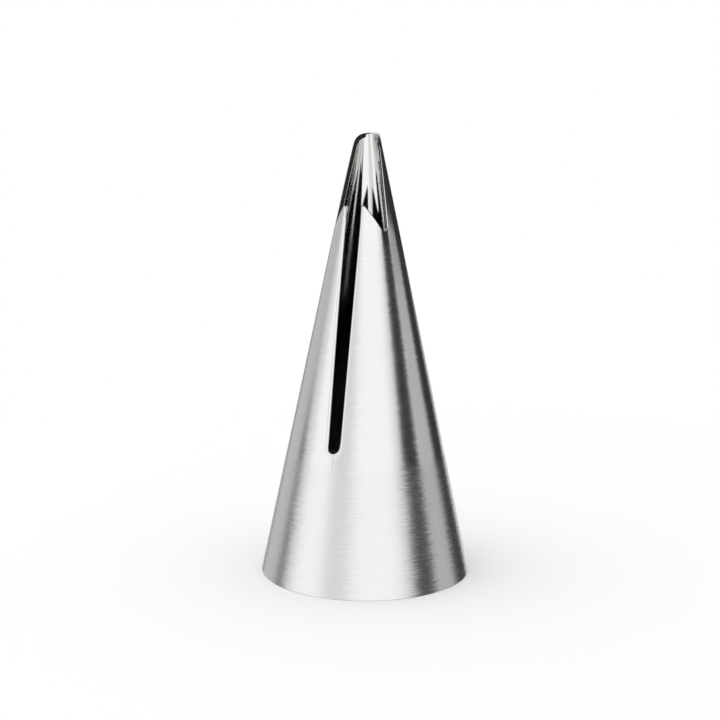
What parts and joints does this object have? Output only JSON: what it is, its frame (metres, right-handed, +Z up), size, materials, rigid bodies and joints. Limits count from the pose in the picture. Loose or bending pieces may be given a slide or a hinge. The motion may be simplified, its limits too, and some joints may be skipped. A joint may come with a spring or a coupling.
{
  "type": "piping nozzle",
  "caption": "Small conical piping nozzle of thin steel sheet, open at the base, with a front slit, pointed petals beside it and a taller rounded tongue at the back.",
  "frame": {"origin": "centre of the open base, in the plane of the base edge", "axes": "+Z up the cone's axis towards the tip; -Y towards the slit, so the slit faces front and the tongue is at the back; +X to the right as seen from the slit"},
  "size_m": [0.0175, 0.0174, 0.0364],
  "materials": {
    "stainless_steel": "fine brushed rings outside, smoother inside, bright polished edges"
  },
  "bodies": {
    "root": {"nozzle_shell": "stainless_steel"}
  },
  "joints": []
}
